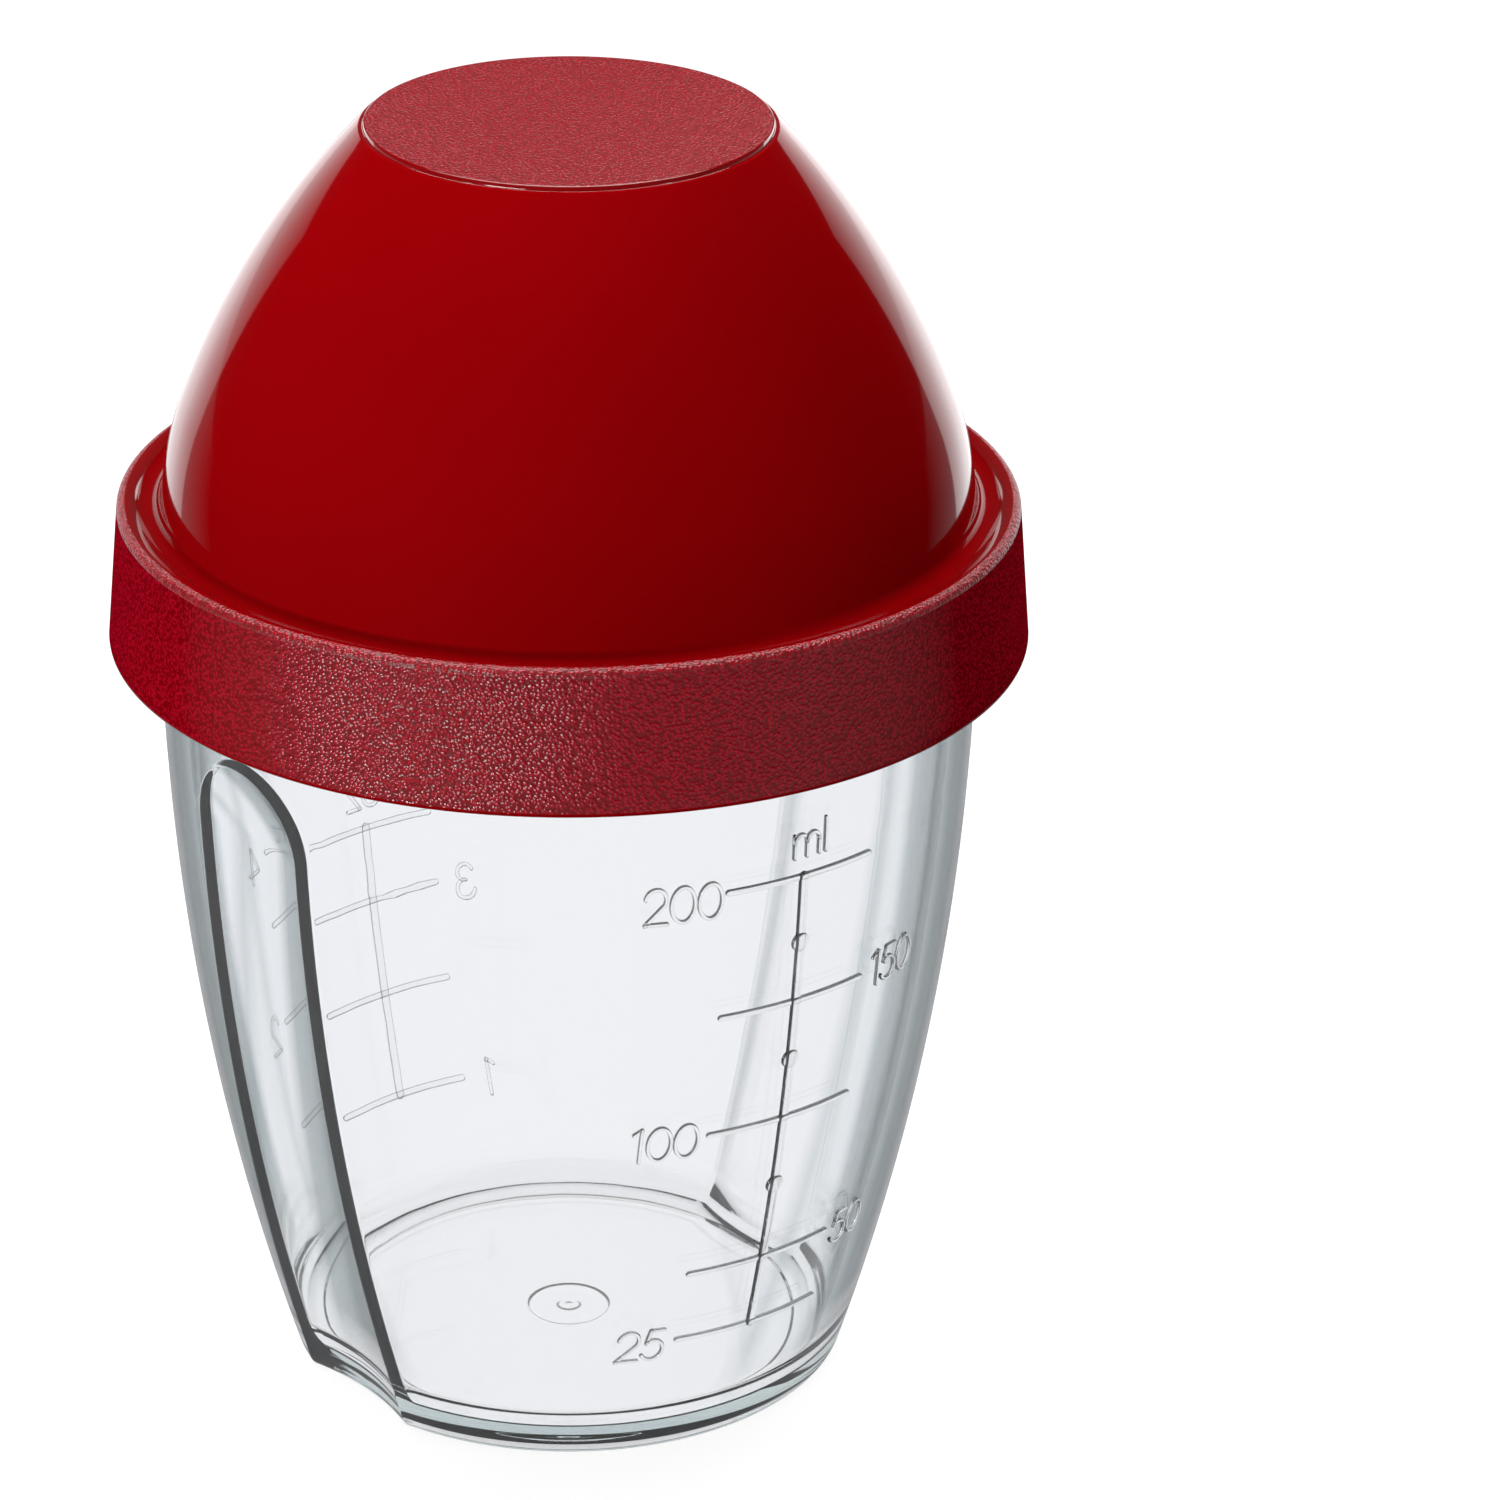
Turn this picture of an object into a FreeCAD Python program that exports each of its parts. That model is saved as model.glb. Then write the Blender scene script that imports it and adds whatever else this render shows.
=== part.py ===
import FreeCAD, Part
import itertools
import math
import os
from types import SimpleNamespace
import Sketcher

# Salad dressing shaker bottle: a clear tapered cup with two scooped grips, a sealing ring and a domed screw lid.
# Millimetres, +Z up, origin at the centre of the foot that the cup stands on. The grips face +X and -X.

SIZES = {
    # Cup
    "cup_height": 82.2,  # foot to the rim that the sealing ring lies on
    "cup_base_radius": 27.2,  # outer wall at the foot, before its edge is rounded
    "cup_neck_radius": 39.0,  # outer wall of the upright neck
    "neck_height": 5.0,  # upright neck below the rim
    "cup_wall": 2.2,
    "cup_rim_round": 0.5,
    "cup_base_round": 1.0,
    "cup_floor": 2.8,  # height of the inner floor
    "cup_floor_round": 3.0,  # inner corner of floor and wall
    "foot_height": 0.5,  # foot ring below the underside of the floor
    "foot_width": 4.2,  # foot ring, inwards from the wall
    "foot_draft": 0.2,
    "gate_radius": 4.0,  # round moulding mark in the underside
    "gate_depth": 0.3,
    # Grips in the cup's wall
    "scoop_radius": 31.0,  # hollow of a grip, across it
    "scoop_foot_depth": 2.1,  # middle of a grip inside the wall, at the foot
    "scoop_head_depth": 1.68,  # middle of a grip inside the wall, at the shoulder
    "arch_drop": 13.4,  # centre of a grip's arched top below the shoulder
    "arch_reach": 24.0,  # half height of the egg that hollows out the arched top
    # Sealing ring
    "seal_thick": 1.4,
    "seal_round": 0.3,
    "seal_clearance": 0.3,  # to the lid's skirt
    # Lid
    "lid_height": 42.8,  # seat on the sealing ring to the flat top
    "lid_wall": 2.1,
    "disc_radius": 19.0,  # flat top, before its edge is rounded
    "disc_round": 0.5,
    "dome_inset": 0.25,  # inside of the dome's foot, inwards from the cup's bore
    "trough_width": 2.95,  # between the dome and the band's rim
    "trough_depth": 3.9,
    "rim_thick": 1.2,
    "band_height": 14.0,
    "band_wall": 1.95,  # at the band's lower edge
    "band_round": 0.5,
    "thread_room": 2.1,  # between the cup's neck and the lid's skirt
    "skirt_draft": 0.8,
}

# Where the dome's two arcs meet, as shares of the dome's width and height from its foot
TURN_INSET_SHARE = 0.116
TURN_HEIGHT_SHARE = 0.311

# Turn of a grip's hollow about its centre, from the arched top to well below the foot, in degrees
SCOOP_TURN = 25

# How nearly the two grips' cuts are the same, as a share
MATCH_SHARE = 0.001

LEFT = 1
RIGHT = -1

# Sides of the cup, as the sign of X
RIGHT_SIDE = 1
LEFT_SIDE = -1

doc = FreeCAD.newDocument("shaker_bottle")
driving = doc.addObject("Spreadsheet::Sheet", "Driving")
worked = doc.addObject("Spreadsheet::Sheet", "Worked")
worked_rows = itertools.count(1)


class Size:
    """A length in millimetres with the formula that gives it from the sheets."""

    def __init__(self, value, formula):
        self.value = value
        self.formula = formula

    def __add__(self, other):
        return Size(self.value + other.value, f"({self.formula} + {other.formula})")

    def __sub__(self, other):
        return Size(self.value - other.value, f"({self.formula} - {other.formula})")

    def __mul__(self, other):
        other = as_size(other)
        return Size(self.value * other.value, f"({self.formula} * {other.formula})")

    def __truediv__(self, other):
        other = as_size(other)
        return Size(self.value / other.value, f"({self.formula} / {other.formula})")


def as_size(number):
    """A Size as it is, or a plain factor as a Size."""
    if isinstance(number, Size):
        return number
    return Size(number, repr(number))


def root(square):
    """Square root of a Size."""
    return Size(math.sqrt(square.value), f"sqrt({square.formula})")


def drive(name, row):
    """Put one driving size into its sheet and give it back as a Size."""
    driving.set(f"A{row}", name)
    driving.set(f"B{row}", str(SIZES[name]))
    driving.setAlias(f"B{row}", name)
    return Size(SIZES[name], f"Driving.{name}")


def work_out(name, worked_size):
    """Keep a worked-out size under a name in the second sheet, so that later formulas stay short."""
    row = next(worked_rows)
    worked.set(f"A{row}", name)
    worked.set(f"B{row}", f"={worked_size.formula}")
    worked.setAlias(f"B{row}", name)
    return Size(worked_size.value, f"Worked.{name}")


def new_body(label):
    """An empty body with its label."""
    body = doc.addObject("PartDesign::Body", label)
    body.Label = label
    return body


def body_plane(body, role):
    """One of the body's own origin planes."""
    return [item for item in body.Origin.OriginFeatures if item.Role == role][0]


def new_sketch(body, name, role):
    """A sketch on one of the body's own origin planes."""
    sketch = body.newObject("Sketcher::SketchObject", name)
    sketch.AttachmentSupport = [(body_plane(body, role), "")]
    sketch.MapMode = "FlatFace"
    return sketch


def constrain(sketch, dimension, kind, *where):
    """Add a dimension to a sketch and bind it to its formula."""
    index = sketch.addConstraint(Sketcher.Constraint(kind, *where, dimension.value))
    sketch.setExpression(f"Constraints[{index}]", dimension.formula)


def arc_between(start, end, radius, turn):
    """The shorter arc from start to end that turns left or right."""
    chord = end - start
    rise = math.sqrt(radius ** 2 - (chord.Length / 2) ** 2)
    to_left = FreeCAD.Vector(-chord.y, chord.x, 0).normalize()
    centre = (start + end) * 0.5 + to_left * (rise * turn)
    ends = (start, end) if turn == LEFT else (end, start)
    angles = [math.atan2(point.y - centre.y, point.x - centre.x) for point in ends]
    return Part.ArcOfCircle(Part.Circle(centre, FreeCAD.Vector(0, 0, 1), radius), *angles)


def draw_outline(sketch, corners):
    """Draw a closed outline. A corner is (across, up), and (across, up, radius, turn) where an arc leaves it."""
    points = [FreeCAD.Vector(corner[0].value, corner[1].value, 0) for corner in corners]
    ends = []
    for start, end, corner in zip(points, points[1:] + points[:1], corners):
        if len(corner) == 2:
            sketch.addGeometry(Part.LineSegment(start, end))
            ends.append((1, 2))
        else:
            radius, turn = corner[2:]
            sketch.addGeometry(arc_between(start, end, radius.value, turn))
            ends.append((1, 2) if turn == LEFT else (2, 1))
    for index, corner in enumerate(corners):
        before = (index - 1) % len(corners)
        start = ends[index][0]
        sketch.addConstraint(Sketcher.Constraint("Coincident", before, ends[before][1], index, start))
        for place, kind, axis in ((corner[0], "DistanceX", -2), (corner[1], "DistanceY", -1)):
            if place is ZERO:
                sketch.addConstraint(Sketcher.Constraint("PointOnObject", index, start, axis))
            else:
                constrain(sketch, place, kind, -1, 1, index, start)
        if len(corner) == 4:
            constrain(sketch, corner[2], "Radius", index)


def revolve(body, name, corners):
    """Turn a closed outline in the body's XZ plane all the way round Z."""
    sketch = new_sketch(body, f"{name}_profile", "XZ_Plane")
    draw_outline(sketch, corners)
    feature = body.newObject("PartDesign::Revolution", name)
    feature.Profile = sketch
    feature.ReferenceAxis = (sketch, ["V_Axis"])
    feature.Angle = 360
    body.Tip = feature
    doc.recompute()


def scoop_grip(body, name, radius, reach, side):
    """Hollow out one side of the body: a round section swept down from the arched top, and an egg above it.
    The side is RIGHT_SIDE for the one at +X and LEFT_SIDE for the one at -X."""
    volume = body.Shape.Volume
    turn = FreeCAD.Rotation(FreeCAD.Vector(0, side, 0), math.degrees(math.asin(arch_sine.value)))

    def set_down(feature, across, up):
        feature.AttachmentSupport = [(body_plane(body, "XY_Plane"), "")]
        feature.MapMode = "FlatFace"
        feature.AttachmentOffset = FreeCAD.Placement(FreeCAD.Vector(across.value * side, 0, up.value), turn)
        feature.setExpression("AttachmentOffset.Base.x", f"{across.formula} * {side}")
        feature.setExpression("AttachmentOffset.Base.z", up.formula)
        feature.setExpression("AttachmentOffset.Rotation.Angle", f"asin({arch_sine.formula})")

    # The sketch's upright axis runs through the centre that the sweep turns about
    sketch = body.newObject("Sketcher::SketchObject", f"{name}_section")
    set_down(sketch, scoop_centre, shoulder)
    middle = FreeCAD.Vector(scoop_swing.value * side, 0, 0)
    ring = sketch.addGeometry(Part.Circle(middle, FreeCAD.Vector(0, 0, 1), radius.value))
    sketch.addConstraint(Sketcher.Constraint("PointOnObject", ring, 3, -1))
    ends = (-1, 1, ring, 3) if side == RIGHT_SIDE else (ring, 3, -1, 1)
    constrain(sketch, scoop_swing, "DistanceX", *ends)
    constrain(sketch, radius, "Radius", ring)
    sweep = body.newObject("PartDesign::Groove", name)
    sweep.Profile = sketch
    sweep.ReferenceAxis = (sketch, ["V_Axis"])
    sweep.Angle = SCOOP_TURN
    sweep.Reversed = side == LEFT_SIDE
    body.Tip = sweep
    doc.recompute()
    egg = body.newObject("PartDesign::SubtractiveEllipsoid", f"{name}_arch")
    set_down(egg, scoop_centre + scoop_swing * arch_cosine, shoulder - scoop_swing * arch_sine)
    for axis, length in (("Radius1", reach), ("Radius2", radius), ("Radius3", radius)):
        egg.setExpression(axis, length.formula)
    body.Tip = egg
    doc.recompute()
    return volume - body.Shape.Volume


def scoop_grips(body, name, radius, reach):
    """Hollow out the body's +X and -X sides alike."""
    right = scoop_grip(body, f"{name}_right", radius, reach, RIGHT_SIDE)
    left = scoop_grip(body, f"{name}_left", radius, reach, LEFT_SIDE)
    if right <= 0 or not math.isclose(right, left, rel_tol=MATCH_SHARE):
        raise RuntimeError(f"{name} cut {right} and {left}")


def make_cup():
    """The clear cup: a revolved solid with its grips, less its hollow."""
    # The outer edge of the foot is a round that touches the ground and the wall
    round_curve = wall_curve - size.cup_base_round
    round_drop = shoulder - size.cup_base_round
    edge = work_out("foot_edge_radius", wall_centre + root(round_curve * round_curve - round_drop * round_drop))
    out = wall_curve / round_curve
    foot_inner = size.cup_base_radius - size.foot_width
    body = new_body("cup")
    revolve(body, "cup_solid", [
        (ZERO, size.foot_height + size.gate_depth),
        (size.gate_radius, size.foot_height + size.gate_depth),
        (size.gate_radius, size.foot_height),
        (foot_inner - size.foot_draft, size.foot_height),
        (foot_inner, ZERO),
        (edge, ZERO, size.cup_base_round, LEFT),
        (wall_centre + (edge - wall_centre) * out, shoulder - round_drop * out, wall_curve, LEFT),
        (size.cup_neck_radius, shoulder),
        (size.cup_neck_radius, size.cup_height - size.cup_rim_round, size.cup_rim_round, LEFT),
        (size.cup_neck_radius - size.cup_rim_round, size.cup_height),
        (ZERO, size.cup_height),
    ])
    scoop_grips(body, "grip", size.scoop_radius, size.arch_reach)
    hollow = make_cup_hollow()
    cut = body.newObject("PartDesign::Boolean", "cup_inside")
    cut.Type = "Cut"
    cut.setObjects([hollow])
    body.Tip = cut
    return body


def make_cup_hollow():
    """The space inside the cup. It bulges in behind each grip, so that the wall stays even there."""
    hollow_curve = wall_curve - size.cup_wall
    round_curve = hollow_curve - size.cup_floor_round
    round_drop = shoulder - size.cup_floor - size.cup_floor_round
    edge = work_out("floor_flat_radius", wall_centre + root(round_curve * round_curve - round_drop * round_drop))
    out = hollow_curve / round_curve
    mouth = cup_bore + size.cup_rim_round
    above = size.cup_height + size.neck_height
    body = new_body("cup_hollow")
    revolve(body, "hollow_solid", [
        (ZERO, size.cup_floor),
        (edge, size.cup_floor, size.cup_floor_round, LEFT),
        (wall_centre + (edge - wall_centre) * out, shoulder - round_drop * out, hollow_curve, LEFT),
        (cup_bore, shoulder),
        (cup_bore, size.cup_height - size.cup_rim_round, size.cup_rim_round, RIGHT),
        (mouth, size.cup_height),
        (mouth, above),
        (ZERO, above),
    ])
    scoop_grips(body, "grip_back", size.scoop_radius + size.cup_wall, size.arch_reach + size.cup_wall)
    return body


def make_sealing_ring():
    """The flat ring between the cup's rim and the lid's seat, with rounded edges."""
    outer = skirt_bore - size.seal_clearance
    edge = size.seal_round
    body = new_body("sealing_ring")
    revolve(body, "ring", [
        (cup_bore + edge, ZERO),
        (outer - edge, ZERO, edge, LEFT),
        (outer, edge),
        (outer, size.seal_thick - edge, edge, LEFT),
        (outer - edge, size.seal_thick),
        (cup_bore + edge, size.seal_thick, edge, LEFT),
        (cup_bore, size.seal_thick - edge),
        (cup_bore, edge, edge, LEFT),
    ])
    body.setExpression("Placement.Base.z", size.cup_height.formula)
    return body


def make_lid():
    """The lid, one moulding: flat top, dome of two arcs, trough, rim and band. Zero is its lower edge."""
    wall = size.lid_wall
    foot = work_out("dome_foot_radius", cup_bore - size.dome_inset + wall)
    seat = work_out("lid_seat", size.band_height - size.trough_depth - wall)
    top = work_out("lid_top", seat + size.lid_height)
    trough_round = size.trough_width / 2
    foot_up = work_out("dome_foot_up", seat + wall + trough_round)
    # The lower arc is upright at the dome's foot and runs up to the turn
    inset = work_out("turn_inset", (foot - size.disc_radius) * TURN_INSET_SHARE)
    climb = work_out("turn_climb", (top - foot_up) * TURN_HEIGHT_SHARE)
    turn_x = work_out("turn_x", foot - inset)
    turn_up = work_out("turn_up", foot_up + climb)
    low_curve = work_out("dome_low_curve", (inset * inset + climb * climb) / (inset * 2))
    # The upper arc touches it there and ends at the edge of the flat top
    back = turn_x - size.disc_radius
    rise = top - turn_up
    lean = (back * (low_curve - inset) - rise * climb) / low_curve
    high_curve = work_out("dome_high_curve", (back * back + rise * rise) / (lean * 2))
    high_x = work_out("dome_high_x", turn_x - (low_curve - inset) * high_curve / low_curve)
    high_up = work_out("dome_high_up", turn_up - climb * high_curve / low_curve)

    def across(curve, up):
        """Distance from the axis, at a height, of an arc about the upper arc's centre."""
        return high_x + root(curve * curve - (up - high_up) * (up - high_up))

    edge_up = top - size.disc_round
    edge = work_out("disc_edge_radius", across(high_curve - size.disc_round, edge_up))
    edge_out = high_curve / (high_curve - size.disc_round)
    mouth = skirt_bore + size.skirt_draft
    band = mouth + size.band_wall
    rim = foot + size.trough_width
    rim_round = size.rim_thick / 2
    band_round = size.band_round
    body = new_body("lid")
    revolve(body, "lid_solid", [
        (ZERO, top - wall),
        (across(high_curve - wall, top - wall), top - wall, high_curve - wall, RIGHT),
        (turn_x - (low_curve - inset) * wall / low_curve, turn_up - climb * wall / low_curve,
         low_curve - wall, RIGHT),
        (foot - wall, foot_up),
        (foot - wall, seat),
        (skirt_bore, seat),
        (mouth, band_round, band_round, LEFT),
        (mouth + band_round, ZERO),
        (band - band_round, ZERO, band_round, LEFT),
        (band, band_round),
        (rim + size.rim_thick, size.band_height - rim_round, rim_round, LEFT),
        (rim + rim_round, size.band_height, rim_round, LEFT),
        (rim, size.band_height - rim_round),
        (rim, foot_up, trough_round, RIGHT),
        (foot + trough_round, seat + wall, trough_round, RIGHT),
        (foot, foot_up, low_curve, LEFT),
        (turn_x, turn_up, high_curve, LEFT),
        (high_x + (edge - high_x) * edge_out, high_up + (edge_up - high_up) * edge_out, size.disc_round, LEFT),
        (edge, top),
        (ZERO, top),
    ])
    body.setExpression("Placement.Base.z", (size.cup_height + size.seal_thick - seat).formula)
    return body


def write_parts(bodies):
    """Stop if anything failed, then write one file for each sub-part."""
    doc.recompute()
    failed = [item.Label for item in doc.Objects if "Invalid" in item.State or "Error" in item.State]
    failed += [body.Label for body in bodies if body.Shape.isNull() or not body.Shape.isValid()]
    if failed:
        raise RuntimeError(f"failed: {failed}")
    os.makedirs("parts", exist_ok=True)
    for body in bodies:
        body.Shape.exportStep(f"parts/{body.Label}.step")
        print(body.Label, "volume", round(body.Shape.Volume), "mm3, solids", len(body.Shape.Solids))


ZERO = Size(0.0, "0")
size = SimpleNamespace(**{name: drive(name, row) for row, name in enumerate(SIZES, start=1)})
doc.recompute()

# What the pieces share
shoulder = work_out("shoulder", size.cup_height - size.neck_height)
taper = work_out("taper", size.cup_neck_radius - size.cup_base_radius)
wall_curve = work_out("wall_curve", (taper * taper + shoulder * shoulder) / (taper * 2))
wall_centre = work_out("wall_centre", size.cup_neck_radius - wall_curve)
cup_bore = work_out("cup_bore", size.cup_neck_radius - size.cup_wall)
skirt_bore = work_out("skirt_bore", size.cup_neck_radius + size.thread_room)
scoop_foot = work_out("scoop_foot", size.cup_base_radius - size.scoop_foot_depth)
scoop_head = work_out("scoop_head", size.cup_neck_radius - size.scoop_head_depth)
scoop_rise = work_out("scoop_rise", scoop_head - scoop_foot)
scoop_curve = work_out("scoop_curve", (scoop_rise * scoop_rise + shoulder * shoulder) / (scoop_rise * 2))
scoop_centre = work_out("scoop_centre", scoop_head - scoop_curve)
scoop_swing = work_out("scoop_swing", scoop_curve + size.scoop_radius)
arch_sine = work_out("arch_sine", size.arch_drop / scoop_curve)
arch_cosine = work_out("arch_cosine", root(as_size(1) - arch_sine * arch_sine))

write_parts([make_cup(), make_sealing_ring(), make_lid()])
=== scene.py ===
import math

import bmesh
import bpy
import numpy as np
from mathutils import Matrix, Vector


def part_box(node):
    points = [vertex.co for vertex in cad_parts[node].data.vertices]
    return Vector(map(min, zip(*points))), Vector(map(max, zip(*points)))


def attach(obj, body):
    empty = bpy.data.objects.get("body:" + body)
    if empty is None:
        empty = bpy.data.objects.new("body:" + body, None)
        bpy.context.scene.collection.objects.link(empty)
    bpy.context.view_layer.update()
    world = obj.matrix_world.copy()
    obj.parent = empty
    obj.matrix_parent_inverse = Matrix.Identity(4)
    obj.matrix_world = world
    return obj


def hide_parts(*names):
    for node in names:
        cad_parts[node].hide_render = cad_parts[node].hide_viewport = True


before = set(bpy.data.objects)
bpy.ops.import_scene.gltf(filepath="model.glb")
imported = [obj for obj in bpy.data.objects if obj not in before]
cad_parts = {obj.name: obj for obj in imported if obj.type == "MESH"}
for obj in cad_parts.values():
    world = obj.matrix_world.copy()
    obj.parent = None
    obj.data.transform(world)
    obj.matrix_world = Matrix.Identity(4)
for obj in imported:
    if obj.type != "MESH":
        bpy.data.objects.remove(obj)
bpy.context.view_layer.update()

# Salad dressing shaker bottle: a clear cup with two scooped grips and raised scales, a sealing ring and a
# red domed screw lid. Metres, in the frame of the CAD model: +Z up, the grips face +X and -X, the
# millilitre scale faces -Y.

_, cup_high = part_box("cup")
_, ring_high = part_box("sealing_ring")
lid_low, lid_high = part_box("lid")

# Cup: its wall is an arc that is upright at the shoulder, with a straight neck above it
CUP_HEIGHT = cup_high.z
NECK_RADIUS = 0.039
NECK_HEIGHT = 0.005
BASE_RADIUS = 0.0272
CUP_WALL = 0.0022
RIM_ROUND = 0.0005
BASE_ROUND = 0.001
FLOOR_HEIGHT = 0.0028
FLOOR_ROUND = 0.003
FOOT_HEIGHT = 0.0005
FOOT_INNER = 0.023
FOOT_DRAFT = 0.0002
GATE_RADIUS = 0.004
GATE_DEPTH = 0.0003
GATE_UP = FOOT_HEIGHT + GATE_DEPTH
SHOULDER = CUP_HEIGHT - NECK_HEIGHT
TAPER = NECK_RADIUS - BASE_RADIUS
WALL_CURVE = (TAPER ** 2 + SHOULDER ** 2) / (2 * TAPER)
WALL_CENTRE = NECK_RADIUS - WALL_CURVE

# Underside of the base from its middle outwards, as (radius, height): nib, hollow and edge of the gate mark,
# bare underside, inner edge of the foot ring
UNDERSIDE = (
    (0, GATE_UP - 0.00022), (0.0004, GATE_UP - 0.00023), (0.0007, GATE_UP - 0.0003),
    (0.00095, GATE_UP - 0.00026), (0.0011, GATE_UP - 0.00008), (0.00125, GATE_UP), (0.0014, GATE_UP),
    (GATE_RADIUS - 0.0003, GATE_UP), (GATE_RADIUS - 0.00018, GATE_UP), (GATE_RADIUS, GATE_UP - 0.00005),
    (GATE_RADIUS + 0.00004, FOOT_HEIGHT + 0.00008), (GATE_RADIUS + 0.0002, FOOT_HEIGHT),
    (GATE_RADIUS + 0.0004, FOOT_HEIGHT), (0.009, FOOT_HEIGHT), (0.016, FOOT_HEIGHT),
    (FOOT_INNER - FOOT_DRAFT - 0.0003, FOOT_HEIGHT),
    (FOOT_INNER - FOOT_DRAFT - 0.00012, FOOT_HEIGHT - 0.00002),
    (FOOT_INNER - FOOT_DRAFT, FOOT_HEIGHT - 0.00014), (FOOT_INNER - 0.00003, 0.00014),
    (FOOT_INNER + 0.0001, 0.00002), (FOOT_INNER + 0.0003, 0), (FOOT_INNER + 0.0005, 0),
)

# Grips: a round section swung on an arc, closed by an egg at the arch. The depths are those of the section's
# deepest line inside the wall, at the shoulder and at the base
SCOOP_RADIUS = 0.031
SCOOP_HEAD_DEPTH = 0.00168
SCOOP_FOOT_DEPTH = 0.0021
SCOOP_HEAD = NECK_RADIUS - SCOOP_HEAD_DEPTH
SCOOP_FOOT = BASE_RADIUS - SCOOP_FOOT_DEPTH
SCOOP_RISE = SCOOP_HEAD - SCOOP_FOOT
SCOOP_CURVE = (SCOOP_RISE ** 2 + SHOULDER ** 2) / (2 * SCOOP_RISE)
SCOOP_CENTRE = SCOOP_HEAD - SCOOP_CURVE
SCOOP_SWING = SCOOP_CURVE + SCOOP_RADIUS
ARCH_DROP = 0.0134
ARCH_TURN = math.asin(ARCH_DROP / SCOOP_CURVE)
ARCH_REACH = 0.024
WIDEST_TILT = 0.6
HALVINGS = 40

# Grid of the cup's side. Its low rows lie at these heights above the rounds of base and floor, the last
# swung row at SWEPT_TOP, and the columns past a grip's edge at these multiples of the edge's tilt
OUTER_LEVELS = (0.0014, 0.0022, 0.004, 0.0065, 0.009, 0.012)
INNER_LEVELS = (0.0066, 0.008, 0.01, 0.012)
SWEPT_TOP = 0.0632
EDGE_SOFT = 0.00003
EDGE_BEYOND = (1.006, 1.015, 1.03, 1.06)
GRIP_COLUMNS = 18
PLAIN_COLUMNS = 36
SWEPT_ROWS = 28
EGG_ROWS = 14
ARCH_ROWS = 10
NECK_ROWS = 5
BORE_ROWS = 6
FLOOR_SHARES = (0.997, 0.98, 0.9, 0.7, 0.45, 0.2, 0)

# Lid: the dome's side is two arcs that touch, of which the lower takes these shares of its run and its rise
SEAT = ring_high.z
SEAT_ROUND = 0.0002
LID_WALL = 0.0021
LID_TOP = lid_high.z
LID_FOOT = lid_low.z
DISC_RADIUS = 0.019
DISC_ROUND = 0.0003
DISC_STEP = 0.00045
DOME_FOOT = 0.03865
DOME_CLEAR = 0.0004
TROUGH_ROUND = 0.001475
RIM_WALL = 0.0012
RIM_RADIUS = DOME_FOOT + 2 * TROUGH_ROUND + RIM_WALL
RIM_ROUND_OUT = 0.0008
BAND_HEIGHT = 0.014
BAND_RADIUS = 0.04385
BAND_ROUND = 0.0005
RIM_TOP = LID_FOOT + BAND_HEIGHT
GUTTER_DEPTH = 0.0008
GUTTER_ROUND = 0.0012
SKIRT_BORE = 0.0411
SKIRT_MOUTH = 0.0419
SKIRT_ROUND = 0.0003
DOME_FOOT_UP = SEAT + LID_WALL + TROUGH_ROUND
LOW_ACROSS_SHARE = 0.116
LOW_CLIMB_SHARE = 0.311
LOW_ACROSS = (DOME_FOOT - DISC_RADIUS) * LOW_ACROSS_SHARE
LOW_CLIMB = (LID_TOP - DOME_FOOT_UP) * LOW_CLIMB_SHARE
LOW_CURVE = (LOW_ACROSS ** 2 + LOW_CLIMB ** 2) / (2 * LOW_ACROSS)
LID_COLUMNS = 288
DOME_STEPS = 28
INSIDE_STEPS = 16
GUTTER_STEPS = 10
CLIMB_STEPS = 12
QUARTER = math.pi / 2

# Step from the dome up to the flat top, as (inwards from the dome's end, down from the top)
DISC_EDGE = (
    (0.0002, DISC_STEP), (0.00026, DISC_STEP - 0.00006), (0.0003, 0.00018), (0.00036, 0.00006), (0.00048, 0),
)

# Screw thread. A ridge's section is given as (share of its height, share of its half width)
THREAD_LEAD = 0.012
THREAD_STARTS = 3
THREAD_ARC = math.radians(90)
THREAD_HALF = 0.0007
THREAD_RUN_OUT = 0.12
THREAD_LEAST_RISE = 0.02
THREAD_LEAST_WIDTH = 0.1
THREAD_ROWS = 60
THREAD_SECTION = np.array((
    (-0.2, -1), (0.0, -1), (0.35, -0.86), (0.75, -0.66), (0.95, -0.5), (1.0, -0.3),
    (1.0, 0.3), (0.95, 0.5), (0.75, 0.66), (0.35, 0.86), (0.0, 1), (-0.2, 1),
))
NECK_RIDGE = 0.0013
NECK_THREAD_UP = SHOULDER + 0.0005
SKIRT_ROOT = SKIRT_BORE + 0.0002
SKIRT_RIDGE = 0.0014
SKIRT_THREAD_UP = LID_FOOT + 0.00127
SKIRT_THREAD_TURN = math.radians(35)

# Scales, raised on the outside of the cup's wall: bearing of the upright rib, heights of the cross lines
# and dots, how far each number stands sideways of the rib and below its line, and the unit with its place
ML_BEARING = math.radians(-94.2)
ML_LINES = {200: 0.0645, 150: 0.0513, 100: 0.0384, 50: 0.0222, 25: 0.0142}
ML_DOTS = (0.0576, 0.045, 0.0308)
ML_LABELS = {
    200: (-0.0122, 0.0005), 150: (0.0128, 0.0), 100: (-0.0122, 0.0002), 50: (0.0115, 0.0005),
    25: (-0.0115, 0.0002),
}
ML_UNIT = ("ml", (0.0006, 0.0684))
OZ_BEARING = math.radians(89)
OZ_LINES = {4: 0.0411, 3: 0.0334, 2: 0.0234, 1: 0.0127}
OZ_LABELS = {4: (0.0112, 0.0003), 3: (-0.0112, 0.0003), 2: (0.0112, 0.0003), 1: (-0.0112, 0.0003)}
OZ_UNIT = ("oz", (0.0, 0.0451))
LINE_HALF = 0.0079
LINE_WIDTH = 0.00068
UPRIGHT_WIDTH = 0.001
DIGIT_HEIGHT = 0.0036
DIGIT_GAP = 0.07
DIGIT_STROKE = 0.00042
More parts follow.
